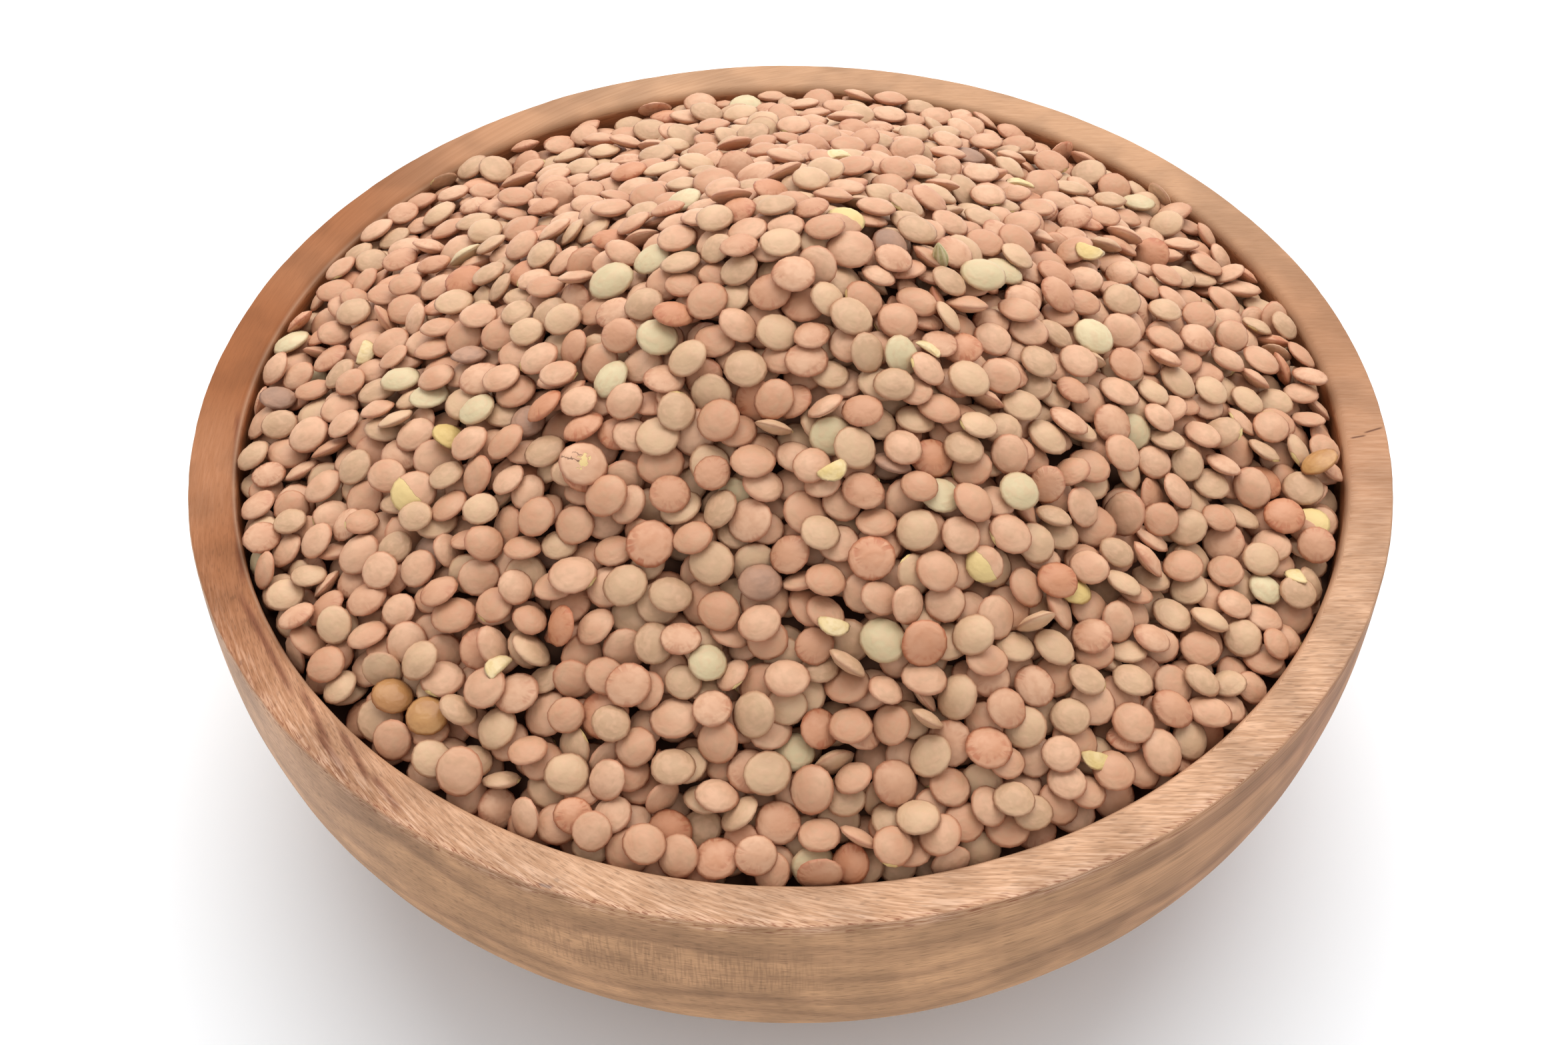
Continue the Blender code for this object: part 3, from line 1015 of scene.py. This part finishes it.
def lentil_tree():
    """Lentils on points: a lens with a sharp edge, turned, sized and dented one by one."""
    inputs = {
        "Segments": ("NodeSocketInt", 16),
        "Rings": ("NodeSocketInt", 6),
        "Edge Sharpness": ("NodeSocketFloat", 1.6),
        "Under Side": ("NodeSocketFloat", 1.0),
        "Broken Off Beyond": ("NodeSocketFloat", 1.0),
        "Dent Depth": ("NodeSocketFloat", 0.00055),
        "Material": ("NodeSocketMaterial", None),
    }
    tree = new_tree("Lentils", inputs)
    graph = Graph(tree)
    given = graph.node("NodeGroupInput").outputs
    sockets = {"Segments": given["Segments"], "Rings": given["Rings"], "Radius": 1.0}
    ball = graph.node("GeometryNodeMeshUVSphere", sockets).outputs[0]
    x, y, z = graph.split(graph.node("GeometryNodeInputPosition").outputs[0])
    rise = graph.math("POWER", graph.math("ABSOLUTE", z), given["Edge Sharpness"])
    upper = graph.math("GREATER_THAN", z, 0.0)
    below = graph.times(graph.minus(1.0, upper), given["Under Side"])
    side = graph.minus(upper, below)
    left = graph.math("MINIMUM", x, given["Broken Off Beyond"])
    shape = graph.joined(left, y, graph.times(rise, side))
    lens = graph.node("GeometryNodeSetPosition", {"Geometry": ball, "Position": shape}).outputs[0]
    own = graph.node("GeometryNodeInputPosition").outputs[0]
    kept = graph.node(
        "GeometryNodeStoreNamedAttribute", {"Geometry": lens, "Name": "skin", "Value": own},
        data_type="FLOAT_VECTOR", domain="POINT").outputs[0]

    def named(name):
        found = graph.node("GeometryNodeInputNamedAttribute", {"Name": name}, data_type="FLOAT_VECTOR")
        return found.outputs[0]

    turned = graph.node("FunctionNodeEulerToRotation", {0: named("turn")}).outputs[0]
    sockets = {"Points": given["Geometry"], "Instance": kept, "Rotation": turned, "Scale": named("size")}
    spread = graph.node("GeometryNodeInstanceOnPoints", sockets).outputs[0]
    whole = graph.node("GeometryNodeRealizeInstances", {"Geometry": spread}).outputs[0]
    where = graph.vector("ADD", named("skin"), graph.scaled(named("mark"), DENT_SHIFT))
    dent = graph.minus(graph.noise(where, 1.1, 1.0), 0.5)
    normal = graph.node("GeometryNodeInputNormal").outputs[0]
    offset = graph.scaled(normal, graph.times(dent, given["Dent Depth"]))
    dented = graph.node("GeometryNodeSetPosition", {"Geometry": whole, "Offset": offset}).outputs[0]
    smooth = graph.node("GeometryNodeSetShadeSmooth", {"Geometry": dented}).outputs[0]
    finished = graph.node(
        "GeometryNodeSetMaterial", {"Geometry": smooth, "Material": given["Material"]}).outputs[0]
    graph.node("NodeGroupOutput", {0: finished})
    return tree


def lentil_points(lentils):
    """Vertices at the lentils' middles that carry each one's turn, size, mark and tint."""
    mesh = bpy.data.meshes.new("points")
    mesh.from_pydata([tuple(lentil["place"]) for lentil in lentils], [], [])
    turns, sizes, marks, tints = [], [], [], []
    for lentil in lentils:
        facing = Vector(lentil["axis"]).to_track_quat("Z", "Y").to_matrix()
        turn = (facing @ Matrix.Rotation(lentil["spin"], 3, "Z")).to_euler()
        turns.extend(turn)
        sizes.extend(lentil["size"])
        marks.extend(lentil["mark"])
        tints.append(lentil["tint"])
    for name, values in (("turn", turns), ("size", sizes), ("mark", marks)):
        mesh.attributes.new(name, "FLOAT_VECTOR", "POINT").data.foreach_set("vector", values)
    mesh.attributes.new("tint", "FLOAT", "POINT").data.foreach_set("value", tints)
    return mesh


SKIN_SPECULAR = 0.38
# Counts of the skin's broad and fine spots, on a lentil of radius 1
BROAD_COUNT = 0.9
FINE_COUNT = 2.4
# Red, green and blue of the edge and the keel line, as shares of the skin's deeper tone: partly the skin's
# own rosier rim and partly painted contact shade
EDGE_AND_SHADE_SHARES = (0.86, 0.66, 0.62)
WRINKLES_ROUND = 3.4
WRINKLES_OUTWARD = 1.6
BARE_SEED = (0.66, 0.475, 0.20, 1.0)
CHIP_PALE = (0.70, 0.535, 0.30)
SKIN_CRACK = (0.22, 0.11, 0.06, 1.0)
# Side and end of the cracks that run from the hole in the cracked skin, as shares of the lentil's radius
SKIN_CRACKS = ((0.13, 0.95), (-0.16, 0.60))


def skin_material(name, colors, wrinkled=0.0, chipped=0.0, bare_beyond=0.98, cracked=False, roughness=0.55):
    """Dry seed skin: three tones, a rosier, darker edge and keel line that are partly its own colour and
    partly painted contact shade, and wrinkles, bare places or a hole where asked.
    """
    light, deep, other = colors
    material, graph, shader = new_material(name, roughness, SKIN_SPECULAR)
    skin = graph.attribute("skin")["Vector"]
    mark = graph.attribute("mark")["Vector"]
    tint = graph.attribute("tint")["Fac"]
    own = graph.vector("ADD", skin, graph.scaled(mark, SKIN_SHIFT))
    x, y, z = graph.split(skin)
    radius = graph.length(graph.joined(x, y, 0.0))
    broad = graph.noise(own, BROAD_COUNT, 0.0)
    fine = graph.noise(own, FINE_COUNT, 1.5, 0.55)

    tone = graph.plus(graph.times(tint, 0.6), graph.times(broad, 0.7))
    color = graph.blend(graph.rise(tone, 0.25, 1.0), opaque(light), opaque(deep))
    color = graph.blend(graph.rise(fine, 0.42, 0.68, 0.0, 0.4), color, opaque(other))
    # Partly the skin's own rosier rim and partly painted contact shade: darker towards the edge and along
    # the keel
    edge = graph.times(graph.rise(radius, 0.84, 1.0), graph.rise(broad, 0.35, 0.65, 0.3, 0.85))
    rosy = opaque([level * share for level, share in zip(deep, EDGE_AND_SHADE_SHARES)])
    keel_line_and_shade = graph.rise(graph.math("ABSOLUTE", z), 0.16, 0.03, 0.0, 0.75)
    color = graph.blend(graph.most(edge, keel_line_and_shade), color, rosy)

    relief = fine
    if wrinkled:
        around_x, around_y, _ = graph.split(graph.vector("NORMALIZE", graph.joined(x, y, 0.0)))
        rays = graph.joined(
            graph.times(around_x, WRINKLES_ROUND),
            graph.times(around_y, WRINKLES_ROUND),
            graph.times(radius, WRINKLES_OUTWARD),
        )
        rays = graph.noise(graph.vector("ADD", rays, graph.scaled(mark, SKIN_SHIFT)), 1.0, 1.0)
        patch = graph.times(graph.rise(radius, 0.35, 0.85), graph.rise(broad, 0.42, 0.58))
        veins = graph.times(graph.rise(rays, 0.44, 0.62), patch)
        color = graph.blend(graph.times(veins, wrinkled), color, rosy)
        relief = graph.minus(fine, graph.times(veins, 0.35))
    if chipped:
        mark_x, mark_y, _ = graph.split(mark)
        toward_x = graph.times(x, graph.math("COSINE", graph.times(mark_x, 2.0 * math.pi)))
        toward_y = graph.times(y, graph.math("SINE", graph.times(mark_x, 2.0 * math.pi)))
        toward = graph.plus(toward_x, toward_y, graph.times(fine, 0.2))
        chosen = graph.math("LESS_THAN", mark_y, chipped)
        bare = graph.times(graph.rise(toward, bare_beyond, bare_beyond + 0.04), chosen)
        color = graph.blend(bare, color, BARE_SEED)
        relief = graph.minus(relief, graph.times(bare, 0.5))
    if cracked:
        ragged = graph.minus(graph.noise(own, 7.0, 1.0), 0.5)
        away = graph.length(graph.joined(graph.times(x, 2.2), graph.times(y, 1.3), 0.0))
        hole = graph.rise(graph.plus(away, graph.times(ragged, 0.9)), 0.44, 0.38)
        color = graph.blend(hole, color, BARE_SEED)
        relief = graph.minus(relief, hole)
        for middle, end in SKIN_CRACKS:
            off = graph.plus(graph.minus(y, middle), graph.times(ragged, 0.25))
            crack = graph.rise(graph.math("ABSOLUTE", off), 0.045, 0.015)
            crack = graph.times(crack, graph.between(x, 0.12, end, 0.08))
            color = graph.blend(crack, color, SKIN_CRACK)
    graph.paint(shader, color)
    graph.emboss(shader, relief, 0.5)
    return material


def kind_materials(settings):
    """The skin of each kind of lentil, by kind."""
    pink = (settings.pink_light, settings.pink_deep)
    olive = (settings.olive_light, settings.olive_deep)
    rosy = (settings.rosy_light, settings.rosy_deep)
    pale = (settings.pale_light, settings.pale_deep)
    dark = (settings.dark_light, settings.dark_deep)
    amber = (settings.amber_light, settings.amber_deep)
    split = (settings.split_light, settings.split_deep)
    return {
        "pink": skin_material("pink_tan_skin", (*pink, olive[1]), chipped=0.12),
        "olive": skin_material("olive_tan_skin", (*olive, pink[0]), chipped=0.12),
        "creased": skin_material("creased_skin", (*pink, pink[1]), wrinkled=0.5),
        "rosy": skin_material("rosy_skin", (*rosy, rosy[1]), wrinkled=0.8),
        "pale": skin_material("pale_skin", (*pale, olive[0])),
        "dark": skin_material("dark_skin", (*dark, dark[1])),
        "amber": skin_material("amber_skin", (*amber, amber[1]), roughness=0.35),
        "split": skin_material("split_seed", (*split, split[0])),
        "chip": skin_material("seed_chip", (split[0], CHIP_PALE, split[1])),
        "burst": skin_material("burst_skin", (*pink, olive[1]), chipped=1.0, bare_beyond=0.10),
        "cracked": skin_material("cracked_skin", (*pink, pink[1]), cracked=True),
    }


PIECE_NAMES = {
    "pink": "lentils_pink_tan",
    "olive": "lentils_olive_tan",
    "creased": "lentils_creased",
    "rosy": "lentils_rosy",
    "pale": "lentils_pale",
    "dark": "lentils_dark",
    "amber": "lentils_amber",
    "split": "lentils_split",
    "chip": "seed_chips",
    "burst": "lentils_burst",
    "cracked": "lentil_cracked",
}


class LENTILBOWL_OT_heap_lentils(bpy.types.Operator):
    """Heap the lentils and sort them into one piece for each kind"""

    bl_idname = "lentil_bowl.heap_lentils"
    bl_label = "Heap Lentils"

    def execute(self, context):
        settings = context.scene.lentil_bowl.lentils
        lentils = settle_lentils(settings)
        tree = lentil_tree()
        for kind, material in kind_materials(settings).items():
            chosen = [lentil for lentil in lentils if lentil["kind"] == kind]
            values = {"Material": material}
            if kind in BROKEN_SHARES:
                values["Under Side"] = BROKEN_UNDER_SIDE
            if kind == "chip":
                values["Broken Off Beyond"] = CHIP_END
            piece = grown(PIECE_NAMES[kind], tree, lentil_points(chosen), values)
            nodes = ("lentils",) if kind == "pink" else ()
            place_on_model(piece, "lentil_skin", *nodes)
        return {"FINISHED"}


# Stray bits

# Sizes of the pointed seed, how far it tips, and how far its foot stands over the heap
SEED_LENGTH = 0.0070
SEED_RADIUS = 0.00135
SEED_RIBS = 7
SEED_RINGS = 14
SEED_SIDES = 42
SEED_TIP = math.radians(8.0)
SEED_LIFT = 0.0013
# How far its ribs rise and how thick it is, as shares of its radius
RIB_RISE = 0.12
SEED_THICKNESS = 0.8
# Powers that set where it swells most and how blunt its ends are
SEED_BELLY = 0.85
SEED_BLUNTNESS = 0.8
HUSK_DEEP = (0.42, 0.37, 0.17, 1.0)
HUSK_LIGHT = (0.52, 0.45, 0.23, 1.0)
HUSK_RIB = (0.68, 0.58, 0.36, 1.0)

# Half sizes of the grit, the flats chipped off it, and how far its middle lies over the heap
GRIT_SIZE = (0.00062, 0.00050, 0.00044)
GRIT_FLATS = 9
GRIT_CUT = 0.80
GRIT_LIFT = 0.0003
GRIT_DRAW = 3
GRIT_DEEP = (0.16, 0.19, 0.20, 1.0)
GRIT_LIGHT = (0.30, 0.33, 0.33, 1.0)


def over_heap(place, lift):
    """The point that lies lift above the top of the heap, at a place in millimetres."""
    x, y = place[0] * MILLIMETRE, place[1] * MILLIMETRE
    depsgraph = bpy.context.evaluated_depsgraph_get()
    _, spot, *_ = bpy.context.scene.ray_cast(depsgraph, (x, y, 2.0 * BOWL_HEIGHT), (0.0, 0.0, -1.0))
    return Vector((x, y, spot.z + lift))


def mottled_material(name, roughness, count, deep, light):
    """Two tones in fine spots, as (material, graph, shader, colour)."""
    material, graph, shader = new_material(name, roughness, 0.25)
    place = graph.node("ShaderNodeTexCoord").outputs["Object"]
    mottle = graph.noise(place, count, 1.0)
    return material, graph, shader, graph.blend(graph.rise(mottle, 0.35, 0.65), deep, light)


def seed_material():
    """Grey green husk with paler ribs."""
    material, graph, shader, color = mottled_material("seed_husk", 0.6, 1400.0, HUSK_DEEP, HUSK_LIGHT)
    ribs = graph.rise(graph.attribute("rib")["Fac"], 0.2, 0.9, 0.0, 0.7)
    color = graph.blend(ribs, color, HUSK_RIB)
    graph.paint(shader, color)
    return material


def pointed_seed():
    """A ribbed seed with pointed ends, standing tipped between the lentils."""
    rings, sides = SEED_RINGS, SEED_SIDES
    tip = Matrix.Rotation(SEED_TIP, 4, "X") @ Matrix.Rotation(-SEED_TIP, 4, "Y")
    foot = over_heap(SEED_PLACE, SEED_LIFT)
    corners, ridges = [(0.0, 0.0, 0.0)], [0.0]
    for ring in range(1, rings):
        share = ring / rings
        swell = math.sin(math.pi * share ** SEED_BELLY) ** SEED_BLUNTNESS
        for side in range(sides):
            turn = side * 2.0 * math.pi / sides
            ridge = 0.5 + 0.5 * math.cos(SEED_RIBS * turn)
            across = SEED_RADIUS * swell * (1.0 - RIB_RISE + RIB_RISE * ridge)
            aside = SEED_THICKNESS * across * math.sin(turn)
            corners.append((across * math.cos(turn), aside, SEED_LENGTH * share))
            ridges.append(ridge)
    corners.append((0.0, 0.0, SEED_LENGTH))
    ridges.append(0.0)
    last = len(corners) - 1
    faces = []
    for side in range(sides):
        after = (side + 1) % sides
        faces.append((0, 1 + after, 1 + side))
        faces.append((last, last - sides + side, last - sides + after))
        for ring in range(rings - 2):
            low = 1 + ring * sides
            high = low + sides
            faces.append((low + side, low + after, high + after, high + side))
    corners = [foot + tip @ Vector(corner) for corner in corners]
    seed = mesh_piece("pointed_seed", corners, faces, seed_material())
    seed.data.attributes.new("rib", "FLOAT", "POINT").data.foreach_set("value", ridges)
    return seed


def grit_piece():
    """A blue grey grain of grit, chipped flat in places."""
    material, graph, shader, color = mottled_material("grey_grit", 0.7, 3000.0, GRIT_DEEP, GRIT_LIGHT)
    graph.paint(shader, color)
    made = bmesh.new()
    bmesh.ops.create_icosphere(made, subdivisions=3, radius=1.0)
    draw = np.random.default_rng(GRIT_DRAW)
    flats = draw.normal(size=(GRIT_FLATS, 3))
    flats /= np.linalg.norm(flats, axis=1)[:, None]
    size = Vector(GRIT_SIZE)
    middle = over_heap(GRIT_PLACE, GRIT_LIFT)
    for vert in made.verts:
        for flat in flats:
            proud = vert.co.dot(flat) - GRIT_CUT
            if proud > 0.0:
                vert.co -= proud * Vector(flat)
        vert.co = middle + vert.co * size
    mesh = bpy.data.meshes.new("grey_grit")
    made.to_mesh(mesh)
    made.free()
    mesh.materials.append(material)
    return new_object("grey_grit", mesh)


class LENTILBOWL_OT_add_strays(bpy.types.Operator):
    """Stand the pointed seed and lay the grit on the heap"""

    bl_idname = "lentil_bowl.add_strays"
    bl_label = "Add Strays"

    def execute(self, context):
        for stray in (pointed_seed(), grit_piece()):
            place_on_model(stray, "lentil_skin")
        return {"FINISHED"}


# Stage


def add_light(name, place, target, size, power, color):
    light = bpy.data.lights.new(name, "AREA")
    light.shape = "DISK"
    light.size = size
    light.energy = power
    light.color = color
    lamp = new_object(name, light)
    lamp.location = place
    lamp.rotation_euler = (Vector(target) - Vector(place)).to_track_quat("-Z", "Y").to_euler()


def add_camera(settings):
    camera = bpy.data.cameras.new("camera")
    camera.sensor_fit = "HORIZONTAL"
    camera.lens = settings.focal_pixels * camera.sensor_width / PHOTO_WIDTH
    camera.clip_start = 0.01
    body = new_object("camera", camera)
    back = Vector((0.0, -math.cos(settings.elevation), math.sin(settings.elevation)))
    body.location = Vector((0.0, 0.0, BOWL_HEIGHT)) + settings.distance * back
    down = settings.elevation + settings.dip
    body.rotation_euler = (0.5 * math.pi - down, 0.0, settings.pan)
    bpy.context.scene.camera = body


# Just below the bowl, so that the two don't share a plane
FLOOR_LEVEL = -0.0001
FLOOR_REACH = 3.0
FLOOR_SIDES = 96
LIGHT_TARGET = (0.0, 0.0, 0.05)
WINDOW_PLACE = (0.05, 0.75, 1.15)
WINDOW_SIZE = 2.0
WINDOW_COLOR = (1.0, 0.99, 0.97)
ROOM_COLOR = (0.96, 0.98, 1.0, 1.0)


def floor_material(color):
    material, _, shader = new_material("pale_floor", 0.7, 0.2)
    shader.inputs["Base Color"].default_value = opaque(color)
    return material


class LENTILBOWL_OT_set_stage(bpy.types.Operator):
    """Lay the floor, hang the lights and set the camera"""

    bl_idname = "lentil_bowl.set_stage"
    bl_label = "Set Stage"

    def execute(self, context):
        settings = context.scene.lentil_bowl.stage
        turns = np.arange(FLOOR_SIDES) * 2.0 * math.pi / FLOOR_SIDES
        rim = [(FLOOR_REACH * math.cos(turn), FLOOR_REACH * math.sin(turn), FLOOR_LEVEL) for turn in turns]
        floor = mesh_piece("floor", rim, [tuple(range(FLOOR_SIDES))], floor_material(settings.floor_color))
        add_light("window", WINDOW_PLACE, LIGHT_TARGET, WINDOW_SIZE, settings.window_power, WINDOW_COLOR)
        world = bpy.data.worlds.new("pale_room")
        world.use_nodes = True
        background = world.node_tree.nodes["Background"]
        background.inputs["Color"].default_value = ROOM_COLOR
        background.inputs["Strength"].default_value = settings.room_strength
        world.cycles.sampling_method = "NONE"
        context.scene.world = world
        context.scene.view_settings.view_transform = "Standard"
        add_camera(settings)
        return {"FINISHED"}


class LENTILBOWL_PT_panel(bpy.types.Panel):
    """The bowl's settings and steps"""

    bl_idname = "LENTILBOWL_PT_panel"
    bl_label = "Lentil Bowl"
    bl_space_type = "VIEW_3D"
    bl_region_type = "UI"
    bl_category = "Lentil Bowl"

    def draw(self, context):
        settings = context.scene.lentil_bowl
        for group in (settings.bowl, settings.lentils, settings.stage):
            box = self.layout.box()
            for name in group.bl_rna.properties.keys():
                if name not in {"rna_type", "name"}:
                    box.prop(group, name)
        for step in STEPS:
            self.layout.operator(step.bl_idname)


STEPS = (
    LENTILBOWL_OT_turn_bowl,
    LENTILBOWL_OT_fill_bed,
    LENTILBOWL_OT_heap_lentils,
    LENTILBOWL_OT_add_strays,
    LENTILBOWL_OT_set_stage,
)
CLASSES = (BowlSettings, LentilSettings, StageSettings, LentilBowlSettings, *STEPS, LENTILBOWL_PT_panel)


def register():
    for part in CLASSES:
        bpy.utils.register_class(part)
    bpy.types.Scene.lentil_bowl = bpy.props.PointerProperty(type=LentilBowlSettings)


def unregister():
    del bpy.types.Scene.lentil_bowl
    for part in reversed(CLASSES):
        bpy.utils.unregister_class(part)


def main():
    register()
    bpy.ops.lentil_bowl.turn_bowl()
    bpy.ops.lentil_bowl.fill_bed()
    bpy.ops.lentil_bowl.heap_lentils()
    bpy.ops.lentil_bowl.add_strays()
    bpy.ops.lentil_bowl.set_stage()


if __name__ == "__main__":
    main()
